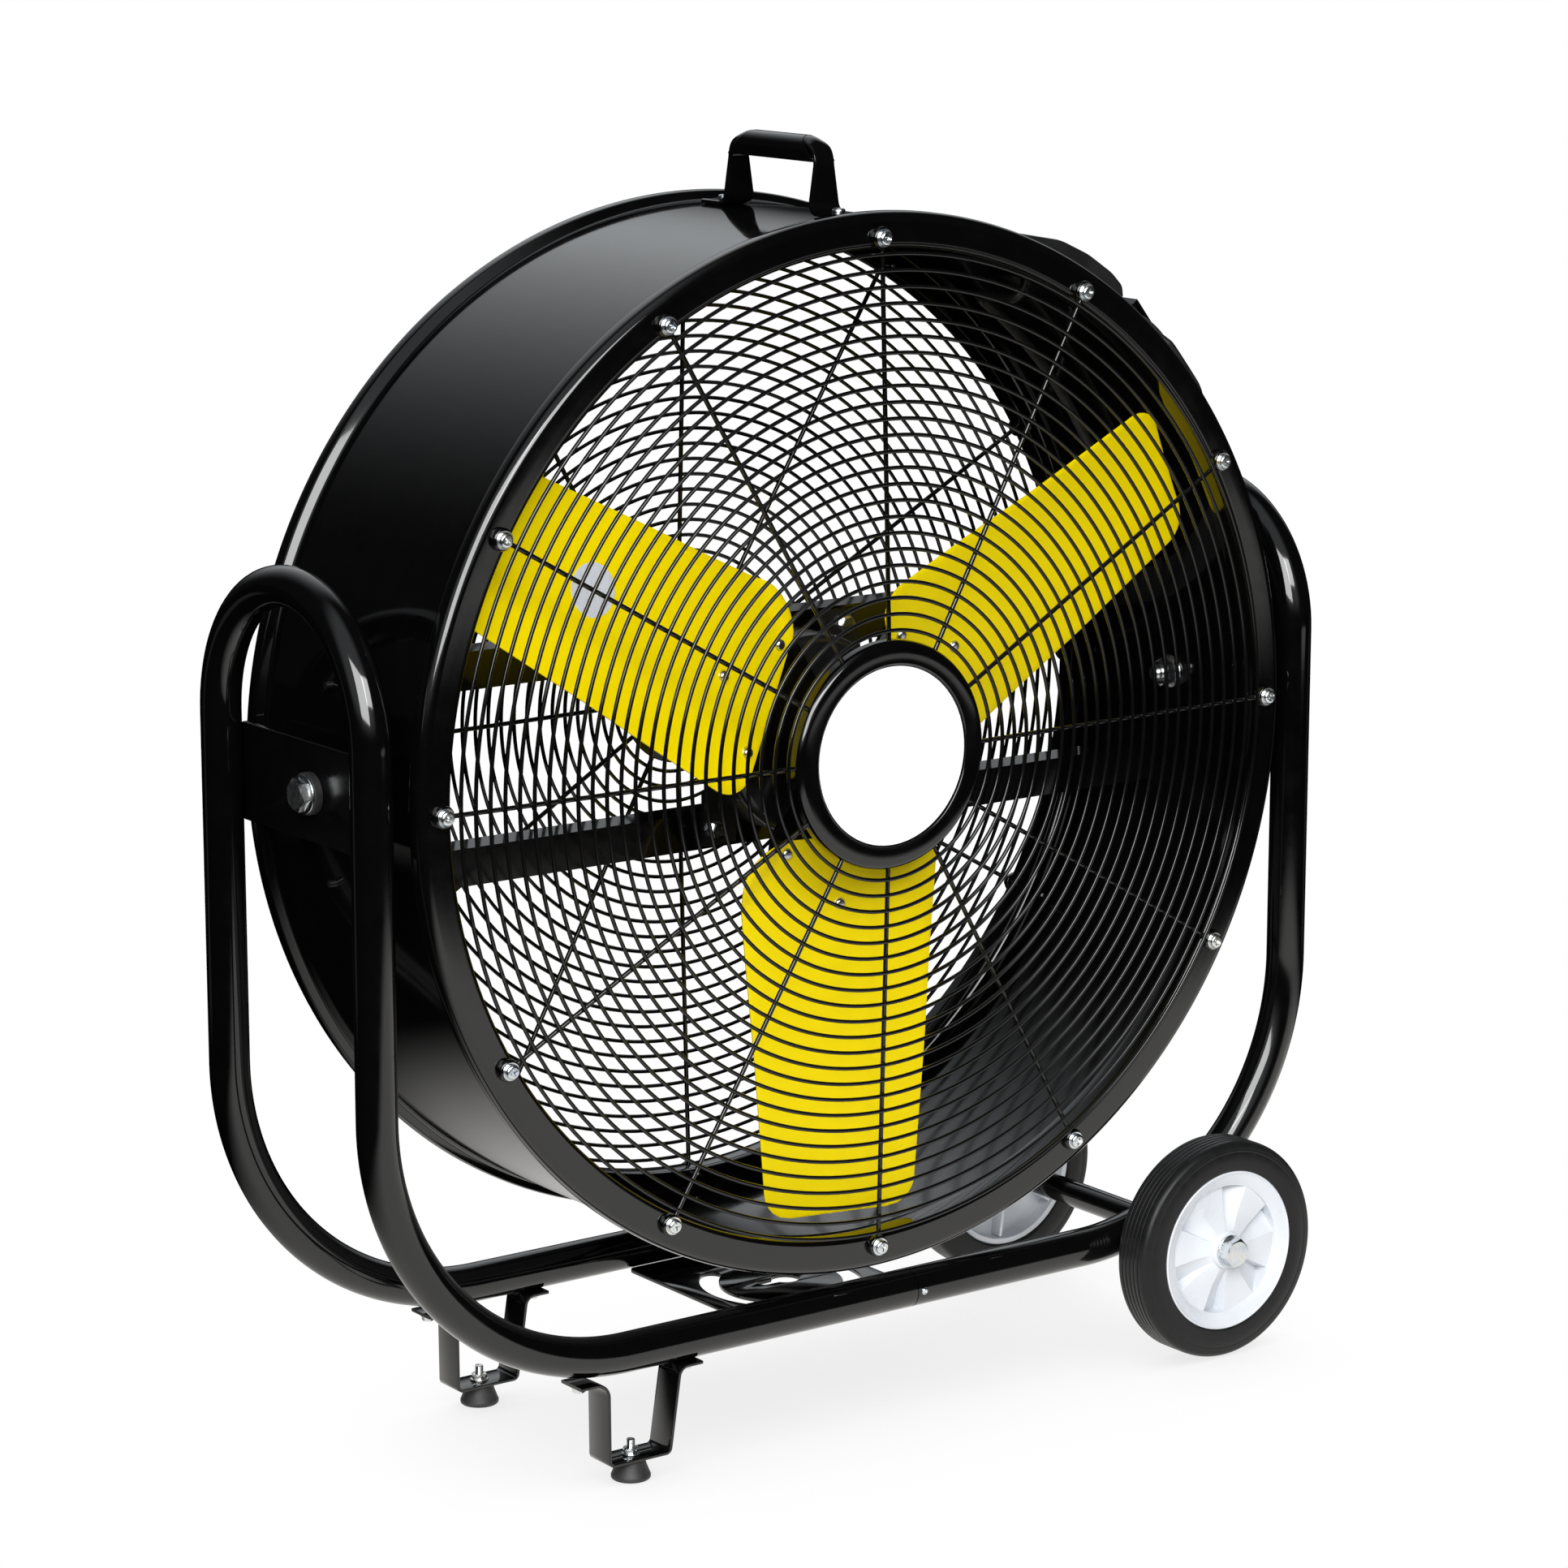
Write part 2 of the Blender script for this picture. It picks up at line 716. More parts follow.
MATERIALS = {
    "black_coat": powder(
        "gloss_black_powder_coat", (0.0009, 0.0009, 0.0011), (0.0018, 0.0017, 0.0017),
        roughness=(0.07, 0.12), coat=0.25, coat_roughness=0.03,
    ),
    "wire_coat": powder(
        "black_wire_coat", (0.0016, 0.0016, 0.0018), (0.0030, 0.0029, 0.0028),
        roughness=(0.09, 0.13), coat=0.08, coat_roughness=0.04, peel=3e-6, specular=0.42,
    ),
    "plate_coat": powder(
        "satin_black_plate_coat", (0.0012, 0.0012, 0.0014), (0.0022, 0.0021, 0.0021),
        roughness=(0.22, 0.30), coat=0.0, coat_roughness=0.2, specular=0.12,
    ),
    "motor_paint": powder(
        "motor_enamel", (0.004, 0.004, 0.0045), (0.008, 0.008, 0.0085),
        roughness=(0.24, 0.36), coat=0.15, coat_roughness=0.15, peel=10e-6,
    ),
    "yellow_coat": yellow_coat(),
    "zinc": zinc(),
    "bright_steel": drawn_metal(
        "bright_turned_steel", (0.56, 0.57, 0.58), (0.70, 0.70, 0.70),
        roughness=(0.18, 0.34), scale=240.0, stretch=(1, 14, 1),
    ),
    "white_plastic": white_plastic(),
    "tyre_rubber": tyre_rubber(),
    "black_rubber": soft_black(
        "black_rubber", (0.011, 0.011, 0.012), (0.020, 0.020, 0.020), roughness=(0.48, 0.62),
        mottle=dict(scale=120.0, detail=4, roughness=0.6),
        fine_scale=1600.0, bump=dict(distance=30e-6, strength=0.5),
    ),
    "black_plastic": black_plastic(),
    "cable": soft_black(
        "cable_jacket", (0.009, 0.009, 0.010), (0.016, 0.016, 0.016), roughness=(0.32, 0.46),
        mottle=dict(scale=90.0, detail=3),
        fine_scale=800.0, bump=dict(distance=20e-6, strength=0.4),
    ),
    "white_label": film(
        "white_printed_film", srgb(246, 247, 249), srgb(252, 252, 253),
        roughness=(0.20, 0.28), coat_weight=0.25, coat_roughness=0.08,
    ),
    "grey_label": film(
        "grey_satin_film", srgb(196, 200, 207), srgb(206, 210, 216), roughness=(0.30, 0.40)
    ),
    "lamination_steel": striped_metal(
        "lamination_stack", (0.16, 0.16, 0.17), (0.42, 0.42, 0.43), roughness=0.42,
        wave=dict(scale=320.0, distortion=0.4, wave_type="BANDS", bands_direction="Y"),
        bump=dict(distance=100e-6, strength=0.5),
    ),
    "copper_wire": striped_metal(
        "enamelled_copper", (0.30, 0.10, 0.03), (0.72, 0.33, 0.12), roughness=0.32,
        wave=dict(scale=260.0, distortion=1.2, wave_type="RINGS", rings_direction="Y"),
        bump=dict(distance=200e-6, strength=0.6),
    ),
    "aluminium_can": drawn_metal(
        "drawn_aluminium", (0.70, 0.71, 0.72), (0.84, 0.84, 0.85),
        roughness=(0.30, 0.42), scale=300.0, stretch=(1, 1, 12),
    ),
}


# ---------------------------------------------------------------- drum and grilles
# Lathe profiles below are lists of (radius, z) in mm.
def rim_faces():
    """Outer face of the rolled rim from wall to lip, and inner face from lip to wall."""
    face, lip = DRUM_HALF, DRUM_HALF - 26
    outer = [(DRUM_R, 117.0)] + arc(DRUM_R + 9, 118, 9, 180, 140, 6)
    outer += [(475.4, 126.6), (476.6, 128.6), (BEAD_R, 131.0)]
    outer += arc(BEAD_R - 9, face - 9, 9, 0, 90, 14)
    outer += [(459.0, face), (452.0, face)] + arc(450, face - 5, 5, 90, 180, 8)
    outer += [(445, face - 16), (445, lip + 0.5), (445.3, lip - 0.2), (445.9, lip - 0.4)]
    outer += [(446.7, lip - 0.2), (447, lip + 0.5), (447, face - 16)]
    inner = [(447, face - 8)] + arc(450, face - 5, 5 - SHEET, 180, 90, 6)
    inner += [(459, face - SHEET), (BEAD_R - 9, face - SHEET)]
    inner += arc(BEAD_R - 9, face - 9, 9 - SHEET, 90, 0, 10)
    inner += [(BEAD_R - SHEET, 131), (474.4, 129.0), (472, 126.5), (466.9, 122.5)]
    inner += [(DRUM_R - SHEET, 118)]
    return outer, inner


def build_drum():
    outer, inner = rim_faces()
    # a few loops on the wall keep its shading even
    loops = (100, 60, 20, -20, -60, -100)
    wall = [(DRUM_R, z) for z in loops]
    wall_inside = [(DRUM_R - SHEET, -z) for z in loops]

    def flip(points):
        return [(r, -z) for r, z in points]

    profile = outer[::-1] + wall + flip(outer) + flip(inner) + wall_inside + inner[::-1]
    part = Part().add(lathe(profile, 320), FRONT)
    part.make("drum_shell_pressed", "drum", "black_coat", "drum_shell", 32)


def grille_z(r):
    """Height of the shallow cone that the spokes lie on."""
    slope = (GRILLE_IN_Z - GRILLE_OUT_Z) / (GRILLE_OUT_R - GRILLE_IN_R)
    return GRILLE_OUT_Z + (GRILLE_OUT_R - r) * slope


def ring_radius(i):
    return GRILLE_OUT_R - (GRILLE_OUT_R - GRILLE_IN_R) * i / (FRONT_RINGS - 1)


def grille_rings(place, count, segments, sides):
    sink = 0.12  # how far a ring bites into the spokes
    part = Part()
    for r in map(ring_radius, range(count)):
        lift = move(0, 0, grille_z(r) + SPOKE_R + RING_R - sink)
        part.add(torus(r, RING_R, segments, sides), place @ lift)
    return part


def spoke(inner_r):
    outer_r = SCREW_RING_R - 9.0
    return rod((inner_r, 0, grille_z(inner_r)), (outer_r, 0, grille_z(outer_r)), SPOKE_R)


def spoke_turn(i):
    return turn(i * 360 / SPOKES, "Z")


def build_front_grille():
    rings = grille_rings(FRONT, FRONT_RINGS, 200, 10)
    rings.make("front_grille_rings", "drum", "wire_coat", "front_grille", 40)
    nugget = lathe([(0, -1.5), (1.5, -1.25), (2.25, 0), (1.5, 1.25), (0, 1.5)], 8)
    part = Part()
    for i in range(SPOKES):
        place = FRONT @ spoke_turn(i)
        part.add(spoke(CAP_R - 2.0), place)
        # weld nuggets where rings cross the spoke
        for r in map(ring_radius, range(FRONT_RINGS)):
            part.add(nugget, place @ move(r, 0, grille_z(r) + SPOKE_R - 0.35))
    part.make("front_grille_spokes", "drum", "wire_coat", angle=40)


def build_rear_grille():
    rings = grille_rings(BACK, REAR_RINGS, 180, 8)
    rings.make("rear_grille_rings", "drum", "wire_coat", "rear_grille", 40)
    part = Part()
    for i in range(SPOKES):
        part.add(spoke(58.0), BACK @ spoke_turn(i))
    z = grille_z(60)
    centre_dish = [(0, z - 2.5), (58.5, z - 2.5), (60, z - 1.5), (60, z + 1.2)]
    centre_dish += arc(56.5, z + 1.2, 3.5, 0, 80, 5)
    centre_dish += [(50, z + 4.2), (46, z + 2.8), (0, z + 2.5)]
    part.add(lathe(centre_dish, 96), BACK)
    part.make("rear_grille_spokes", "drum", "wire_coat", angle=40)


def build_grille_fixings():
    """A round boss with a washer and a screw at the outer end of each spoke."""
    boss_profile = [(2.7, 0), (9.6, 0), (10, 0.4), (10, 3.6)]
    boss_profile += arc(7.4, 3.6, 2.4, 8, 90, 6) + [(6.9, 6.0), (2.7, 6.0)]
    boss = lathe(boss_profile, 40)
    washer_profile = [(2.6, 6.0), (8.0, 6.0), (8.2, 6.2), (8.2, 6.9), (7.9, 7.2), (2.6, 7.2)]
    washer = lathe(washer_profile, 32)
    head = cross_head(6.5, 4.4)
    shank = rod((0, 0, -15), (0, 0, 7.3), 2.45, 14)
    bosses, screws = Part(), Part()
    for face, extra_turn in ((FRONT, 0), (BACK, 23)):
        for i in range(SPOKES):
            place = face @ spoke_turn(i) @ move(SCREW_RING_R, 0, DRUM_HALF)
            bosses.add(boss, place)
            screws.add(washer, place)
            screws.add(head, place @ move(0, 0, 7.1) @ turn((i * 47 + extra_turn) % 90, "Z"))
            screws.add(shank, place)
    bosses.make("grille_bosses_turned", "drum", "black_coat", "grille_bosses", 40)
    screws.make("grille_screws_cross", "drum", "zinc", "grille_screws", 38)


def build_cap():
    cap = [(0, 163), (98.6, 163), (99.6, 162.6), (100.2, 161.6), (100.5, 160.5)]
    cap += [(100.5, 155.6), (101.0, 155.0), (102.4, 155.0), (CAP_R, 155.6)]
    cap += arc(CAP_R - 6.5, 161.8, 6.5, 0, 84, 12) + [(92, 168.7), (84.5, 168.75)]
    cap += arc(83.2, 167.3, 1.4, 80, 175, 5) + [(81.8, 166.3), (81.2, 166.1), (0, 166.1)]
    part = Part().add(lathe(cap, 160), FRONT)
    part.make("grille_cap_pressed", "drum", "black_coat", "grille_cap", 32)
    disc = [(0, 166.2), (80.0, 166.2), (80.3, 166.5), (80.3, 167.2)]
    disc += [(79.9, 167.55), (79.0, 167.7), (40, 167.95), (0, 168.05)]
    part = Part().add(lathe(disc, 128), FRONT)
    part.make("cap_disc_film", "drum", "white_label", "cap_disc", 32)


# ---------------------------------------------------------------- cradle
def half_cradle_path(end_x):
    """Left half: front rail, bend, upright, loop over the top, and back along +y."""
    bend_x, bend_z = -(SIDE_X - BEND_R), RAIL_Z + BEND_R
    side = [(end_x, -RAIL_Y, RAIL_Z)]
    side += [(x, -RAIL_Y, RAIL_Z) for x in np.linspace(end_x, bend_x, 8)[1:-1]]
    side += [(x, -RAIL_Y, z) for x, z in arc(bend_x, bend_z, BEND_R, -90, -180, 48)]
    side += [(-SIDE_X, -RAIL_Y, z) for z in np.linspace(bend_z, LOOP_Z, 8)[1:-1]]
    loop = [(-SIDE_X, y, z) for y, z in arc(0, LOOP_Z, RAIL_Y, 180, 0, 48)]
    return side + loop + [(x, -y, z) for x, y, z in side[::-1]]


def build_cradle_tubes():
    for (side, mirror), end_x in zip(SIDES, (SEAM_X, -SEAM_X - SEAM_GAP)):
        tube = sweep(half_cradle_path(end_x), circle(TUBE_R, 40), (0, 1, 0))
        name = "cradle_%s_bent" % side
        Part().add(tube, mirror).make(name, "cradle", "black_coat", "cradle_tube_" + side, 40)
    rivet = [(0, -5.4), (1.9, -5.4), (1.9, 0.1), (3.3, 0.1), (3.3, 0.5)]
    rivet += arc(1.4, 0.5, 1.8, 0, 70, 5) + [(1.3, 2.0), (0.8, 1.4), (0, 1.3)]
    part = Part()
    for s in (-1, 1):
        place = move(SEAM_X + 7, s * (RAIL_Y + TUBE_R), RAIL_Z) @ turn(-90 * s, "X")
        part.add(lathe(rivet, 28), place)
    part.make("joint_rivets_domed", "cradle", "zinc", "joint_rivets")


def build_pivot_plates():
    outline = rounded_rect(2 * (RAIL_Y - 5.9), 87, 1.2, 3)
    for side, mirror in SIDES:
        place = mirror @ move(-PIVOT_PLATE_X, 0, AXIS_Z) @ turn(90, "Z") @ turn(90, "X")
        part = Part().add(plate(outline, [circle(8.1, 48)], 5.0, 0.7), place)
        part.make("pivot_plate_%s_cut" % side, "cradle", "plate_coat", "pivot_plate_" + side)


def curved_slot(start, span=100, middle_r=67, half_w=9):
    """Slot round the plate's centre with half-round ends; angles in degrees."""
    end = start + span
    outer = arc(0, 0, middle_r + half_w, start, end, 40)
    end_cap = arc(*polar(middle_r, end), half_w, end, end + 180, 9)[1:-1]
    inner = arc(0, 0, middle_r - half_w, end, start, 34)
    start_cap = arc(*polar(middle_r, start), half_w, start + 180, start + 360, 9)[1:-1]
    return outer + end_cap + inner + start_cap


def build_base_plate():
    keyhole = arc(8, 4, 13, -150, 150, 30) + [(-10.6, 10.0)]
    keyhole += arc(-16, 4, 6, 90, 270, 12) + [(-10.6, -2.0)]
    holes = [keyhole, curved_slot(130), curved_slot(-50)]
    base = plate(rounded_rect(186, 229.6, 5, 5), holes, 4.0, 0.7)
    part = Part().add(base, move(0, 0, RAIL_Z - 17.5))
    part.make("base_plate_slotted", "cradle", "black_coat", "base_plate")


# ---------------------------------------------------------------- axle and wheels
# The hub's outer face has six raised ridges, each rising gently and then falling steeply.
# Depths run inward from the outer face.
RIDGES = 6
RIDGE_PITCH = 360.0 / RIDGES
RIDGE_START = 66.0  # degrees
# radius: depth where the face is level all the way round
HUB_LEVEL = {
    8.06: 0.4, 8.6: 0.0, 13.0: 0.0, 16.9: 0.0, 17.4: 0.5,
    62.35: 6.35, 75.6: 0.25, 76.3: 0.45, 76.85: 0.95, 77.0: 1.7,
}
HUB_SCULPTED_R = [
    18.4, 21, 24, 28, 32, 37, 42, 47, 52, 56, 59, 61.0, 61.9,
    63.05, 64, 66, 68.5, 71, 73, 74.6,
]
# (radius, depth) down the rim, across the back and up the bore
HUB_BACK = [
    (77, 20), (77, 39), (76.3, 40), (71.6, 40), (71, 39.4), (70.6, 30), (70, 26.2),
    (69, 25.2), (40, 24.8), (18, 24.6), (17.2, 25), (16.8, 42.4), (16.2, 43), (8.6, 43),
    (8.06, 42.4),
]


def hub_depth(r, angle):
    if r in HUB_LEVEL:
        return HUB_LEVEL[r]
    if r > 63.0:
        return 6.4 - 5.9 * ((r - 63.0) / 13.9) ** 0.8
    u = ((RIDGE_START - angle) % RIDGE_PITCH) / RIDGE_PITCH
    if u < 0.56:
        fall = 0.16 * u / 0.56
    elif u < 0.60:
        fall = 0.16 + 0.84 * (u - 0.56) / 0.04
    else:
        fall = ((1.0 - u) / 0.40) ** 0.85
    grow = max(0.0, (r - 19.0) / 43.0) ** 0.75
    return 3.4 + 3.4 * min(1.0, (r - 17.5) / 20.0) + 15.0 * fall * grow


def hub_shell():
    # samples crowd round each steep step; fractions of a ridge pitch
    fractions = list(np.linspace(0, 0.54, 13)) + [0.558, 0.562, 0.598, 0.603]
    fractions += list(np.linspace(0.63, 0.985, 9))
    angles = set()
    for k in range(RIDGES):
        ridge = RIDGE_START - RIDGE_PITCH * k
        angles.update(round((ridge - RIDGE_PITCH * u) % 360.0, 4) for u in fractions)
    angles = sorted(angles)
    rows = [
        [(*polar(r, a), hub_depth(r, a)) for a in angles]
        for r in sorted([*HUB_LEVEL, *HUB_SCULPTED_R])
    ]
    rows += [[(*polar(r, a), z) for a in angles] for r, z in HUB_BACK]
    return skin(rows, closed=True)


def hub_ribs():
    rib = plate(rounded_rect(51, 15, 1, 2), [], 3.2, 0.5)
    part = Part()
    for i in range(6):
        part.add(rib, turn(i * 60 + 6, "Z") @ move(43.5, 0, 31.5) @ turn(90, "X"))
    return np.vstack(part.verts), part.faces


def tyre_shell():
    # sidewall: (height above the hub, depth)
    sidewall = [
        (0.05, 3.2), (0.05, 1.6), (0.9, 0.75), (2.2, 0.5), (9, 0.3), (17.5, 0.55),
        (18.3, 1.0), (18.7, 1.05), (19.6, 0.75), (20.4, 0.95), (20.9, 1.35), (21.4, 1.35),
        (22.2, 1.5),
    ]
    # one groove and the rib after it: (depth below the tread, width)
    groove = [
        (0.05, 0), (0.35, 0.25), (1.75, 0.55), (1.75, 1.15), (0.35, 1.45), (0.05, 1.7),
        (0, 2.6), (0, 4.2),
    ]
    groove_start, groove_pitch, grooves = 9.6, 5.35, 5
    shoulder = [(HUB_R + h, z) for h, z in sidewall]
    shoulder += arc(WHEEL_R - 7.2, 8.2, 7.0, -62, -4, 9)
    tread = [
        (WHEEL_R - cut, groove_start + k * groove_pitch + dz)
        for k in range(grooves)
        for cut, dz in groove
    ]
    far_shoulder = [(r, WHEEL_W - z) for r, z in shoulder][::-1]
    return lathe(shoulder + tread + far_shoulder, 200)


def build_wheels():
    hub, ribs, tyre = hub_shell(), hub_ribs(), tyre_shell()
    # the front hub is mirrored; the rear wheel is turned a little
    for name, s, spin, flip in (("front", -1, 0, MIRROR_Y), ("rear", 1, 17, IDENTITY)):
        place = move(AXLE_X, s * WHEEL_Y, WHEEL_R) @ turn(90 * s, "X") @ turn(spin, "Z")
        body = name + "_wheel"
        part = Part().add(hub, place @ flip).add(ribs, place)
        part.make("wheel_hub_%s_moulded" % name, body, "white_plastic", "wheel_hub_" + name, 28)
        part = Part().add(tyre, place)
        part.make("tyre_%s_ribbed" % name, body, "tyre_rubber", "tyre_" + name, 50)


def build_axle():
    washer = [(8.1, 0), (15.2, 0), (15.5, 0.3), (15.5, 1.5), (15.1, 1.9), (8.1, 1.9)]
    part = Part()
    for s in (-1, 1):
        place = move(AXLE_X, s * (WHEEL_Y + 0.1), WHEEL_R) @ turn(-90 * s, "X")
        part.add(lathe(washer, 64), place)
        nut = hexnut(25, 10.5, dome=0.5, chamfer=0.92)
        part.add(nut, place @ move(0, 0, 1.9) @ turn(12, "Z"))
    part.make("axle_nuts_capped", "cradle", "zinc", "axle_nuts", 25)
    housing = [(8.2, -131), (12.2, -131), (12.7, -130.5)]
    housing += [(r, -z) for r, z in housing[::-1]]
    part = Part().add(lathe(housing, 48), move(AXLE_X, 0, WHEEL_R) @ turn(90, "X"))
    part.make("axle_housing_tube", "cradle", "black_coat", "axle_housing")


# ---------------------------------------------------------------- handle
DRUM_TOP = AXIS_Z + DRUM_R
STRAP_HALF = 2.0  # half thickness
STRAP_Z = DRUM_TOP + STRAP_HALF + 0.05
ARCH_R = 10.3  # strap's middle surface round the grip's centre line
GRIP_Z = AXIS_Z + 524.4


def handle_strap():
    """Strap along y, flat on its feet and legs and arched across under the grip."""
    top = GRIP_Z + ARCH_R
    path = smoothed(
        [(0, -100, STRAP_Z), (0, -64, STRAP_Z), (0, -64, top),
         (0, 64, top), (0, 64, STRAP_Z), (0, 100, STRAP_Z)],
        [10, 23, 23, 10], 16,
    )
    steps = 14
    rows = []
    for frame_at in path_frames(path, (0, 0, 1)):
        point = frame_at[0]
        r = point.z - AXIS_Z
        width = 32.0 - 1.2 * smooth(468, 480, r) - 10.2 * smooth(476, 516, r)
        arch = 1.0 - smooth(44.0, 62.0, abs(point.y))
        section = []
        for side in (1, -1):
            for k in range(steps + 1):
                across = (k / steps * 2 - 1) * side
                x = across * width / 2
                # thinner towards the long edges
                rise = STRAP_HALF * side * (1.0 - 0.25 * max(0.0, (abs(across) - 0.93) / 0.07))
                angle = x / ARCH_R
                arched_x = (ARCH_R + rise) * math.sin(angle)
                arched_rise = (ARCH_R + rise) * math.cos(angle) - ARCH_R
                section.append((
                    (1 - arch) * rise + arch * arched_rise,
                    (1 - arch) * x + arch * arched_x,
                ))
        rows.append(place_section(frame_at, section))
    return capped(rows)


def handle_grip():
    """Inverted U over the strap, longer towards its lower edges."""
    # (x, z) round the grip's centre line
    section = [(12.2, -9.4), (12.6, -9.0), (12.6, -4.0)] + arc(0, 0, 12.6, 0, 62, 12)
    section += [(3.2, 12.45), (-3.2, 12.45)] + arc(0, 0, 12.6, 118, 180, 12)
    section += [(-12.6, -4.0), (-12.6, -9.0), (-12.2, -9.4), (-10.8, -9.4), (-10.4, -9.0)]
    section += arc(0, 0, 10.4, 180, 0, 24) + [(10.4, -9.0), (10.8, -9.4)]
    rows = []
    for k in [-1, -0.99, -0.97] + list(np.linspace(-0.9, 0.9, 13)) + [0.97, 0.99, 1]:
        inset = 1.0 if abs(k) < 1 else 0.985
        rows.append([
            (x * inset, k * (41 + (12.8 - z) * 1.03), GRIP_Z + z * inset) for x, z in section
        ])
    return capped(rows)


def build_handle():
    part = Part().add(handle_strap()).add(handle_grip())
    part.make("handle_folded", "drum", "black_coat", "handle", 32)
    screws = Part()
    head = cross_head(6.0, 4.0)
    for s in (-1, 1):
        place = move(0, s * 86, STRAP_Z + STRAP_HALF)
        screws.add(head, place @ turn(33 * s, "Z"))
        screws.add(rod((0, 0, -9), (0, 0, 0.2), 2.9), place)
    screws.make("handle_screws_cross", "drum", "zinc", "handle_screws", 38)


# ---------------------------------------------------------------- pivots
def build_pivots():
    bolts, washers, nuts = Part(), Part(), Part()
    washer = [(8.1, 0), (18.0, 0), (18.5, 0.5), (18.5, 7.3), (17.9, 7.93), (8.1, 7.93)]
    for _, mirror in SIDES:
        place = mirror @ move(-(WASHER_X + 0.02), 0, AXIS_Z) @ turn(-90, "Y")
        bolts.add(hexnut(26, 10.4, foot=17.3, chamfer=0.9), place @ turn(17, "Z"))
        bolts.add(rod((0, 0, -57), (0, 0, 1), 7.9, 32), place)
        washers.add(lathe(washer, 64), mirror @ move(-WASHER_X, 0, AXIS_Z) @ turn(90, "Y"))
        place = mirror @ move(-PIVOT_NUT_X, 0, AXIS_Z) @ turn(90, "Y")
        nuts.add(hexnut(24, 14, bore=8.0, foot=16), place)
    bolts.make("pivot_bolts_flanged", "drum", "zinc", "pivot_bolts", 25)
    washers.make("pivot_washers_turned", "drum", "black_rubber", "pivot_washers")
    nuts.make("pivot_nuts_flanged", "drum", "zinc", "pivot_nuts", 25)


# ---------------------------------------------------------------- feet
# folded bracket: (x from the foot's centre, z)
FOOT_BRACKET = [
    (-62.3, 97.4), (-32.7, 97.4), (-32.1, 20.55), (32.1, 20.55), (43.7, 97.4), (67.6, 97.4),
]
FOOT_WASHER = [(3.1, 0), (6.8, 0), (7, 0.2), (7, 1.2), (6.7, 1.4), (3.1, 1.4)]
STUD_WASHER = [
    (4.05, 22.05), (8.2, 22.05), (8.5, 22.3), (8.5, 23.3), (8.2, 23.55), (4.05, 23.55),
]
RUBBER_FOOT = [
    (0, 0.2), (14.5, 0.2), (15.2, 0.0), (16.6, 0.0), (17.5, 0.7), (17.8, 1.6), (17.8, 3.6),
    (17.2, 4.7), (14.2, 12.5), (12.9, 17.0), (12.5, 18.3), (11.9, 18.85), (4.1, 18.9),
    (4.1, 10.0), (0, 10.0),
]


def build_feet():
    brackets, screws, studs, feet = Part(), Part(), Part(), Part()
    for s in (-1, 1):
        y = s * RAIL_Y
        path = smoothed([(FOOT_X + x, y, z) for x, z in FOOT_BRACKET], [13, 5, 5, 9.5])
        brackets.add(sweep(path, rounded_rect(32, 3, 0.7, 2), (0, 1, 0)))
        for x, head_turn in ((-54.5, -25), (60.0, 25)):
            place = move(FOOT_X + x, y, 95.9) @ turn(180, "X")
            screws.add(lathe(FOOT_WASHER, 32), place)
            head = hexnut(10, 4.5, chamfer=0.9)
            screws.add(head, place @ move(0, 0, 1.4) @ turn(head_turn, "Z"))
            screws.add(rod((0, 0, -2.9), (0, 0, 1.5), 2.9), place)
        place = move(FOOT_X, y, 0)
        studs.add(thread(4.0, 26.0), place @ move(0, 0, 10))
        studs.add(lathe(STUD_WASHER, 32), place)
        nut = hexnut(13, 4.9, bore=4.0, chamfer=0.9)
        studs.add(nut, place @ move(0, 0, 23.55) @ turn(11, "Z"))
        feet.add(lathe(RUBBER_FOOT, 56), place)
    brackets.make("foot_brackets_folded", "cradle", "black_coat", "foot_brackets", 40)
    screws.make("foot_bracket_screws_hex", "cradle", "zinc", "foot_bracket_screws", 25)
    studs.make("foot_studs_threaded", "cradle", "zinc", "foot_studs", 60)
    feet.make("rubber_feet_moulded", "cradle", "black_rubber", "rubber_feet", 30)


# ---------------------------------------------------------------- rotor
# In a blade's frame y runs out to the tip and z is its thickness.
BLADE_HALF_W = 97.0  # at the root
TIP_CORNER_R = 28.0
TIP_CORNER_Y = TIP_R - TIP_CORNER_R
TIP_HALF_W = BLADE_HALF_W - (TIP_CORNER_Y - 150) * 0.083
BLADE_ROWS, BLADE_COLUMNS = 72, 30
# (growth of the outline, z) from the front face round the edge to the back face
BLADE_LAYERS = [(-0.7, 2.0), (-0.15, 1.75), (0.0, 1.0), (-0.15, 0.25), (-0.7, 0.0)]


def blade_frame(i):
    place = FRONT @ turn(-(60 + 120 * i), "Z")
    return place @ move(0, 0, BLADE_Z) @ turn(BLADE_PITCH, "Y")


def blade_edges(y, grow):
    """The x of both edges at a station, for an outline grown all round."""
    y = min(max(y, ROOT_R - grow + 1e-6), TIP_R + grow - 1e-6)

    def half_width(root_corner_r):
        corner_y = ROOT_R + root_corner_r
        if y > TIP_CORNER_Y:
            bulge = (TIP_CORNER_R + grow) ** 2 - (y - TIP_CORNER_Y) ** 2
            return TIP_HALF_W - TIP_CORNER_R + math.sqrt(max(0, bulge))
        if y < corner_y:
            bulge = (root_corner_r + grow) ** 2 - (corner_y - y) ** 2
            return BLADE_HALF_W - root_corner_r + math.sqrt(max(0, bulge))
        taper = (y - corner_y) / (TIP_CORNER_Y - corner_y)
        return BLADE_HALF_W + (TIP_HALF_W - BLADE_HALF_W) * taper + grow

    return -half_width(30), half_width(50)


def blade_rise(x, y):
    """Camber of the outer blade, and the raised corner on the +x side of the root."""
    camber = smooth(185, 300, y) * 3.2 * (x / 80.0) ** 2
    past_crease = (x - 52.0) * 0.80 - (y - 118.0) * 0.60 - 14.0
    return camber + 5.0 * smooth(0, 16, past_crease) * (1 - smooth(170, 230, y))


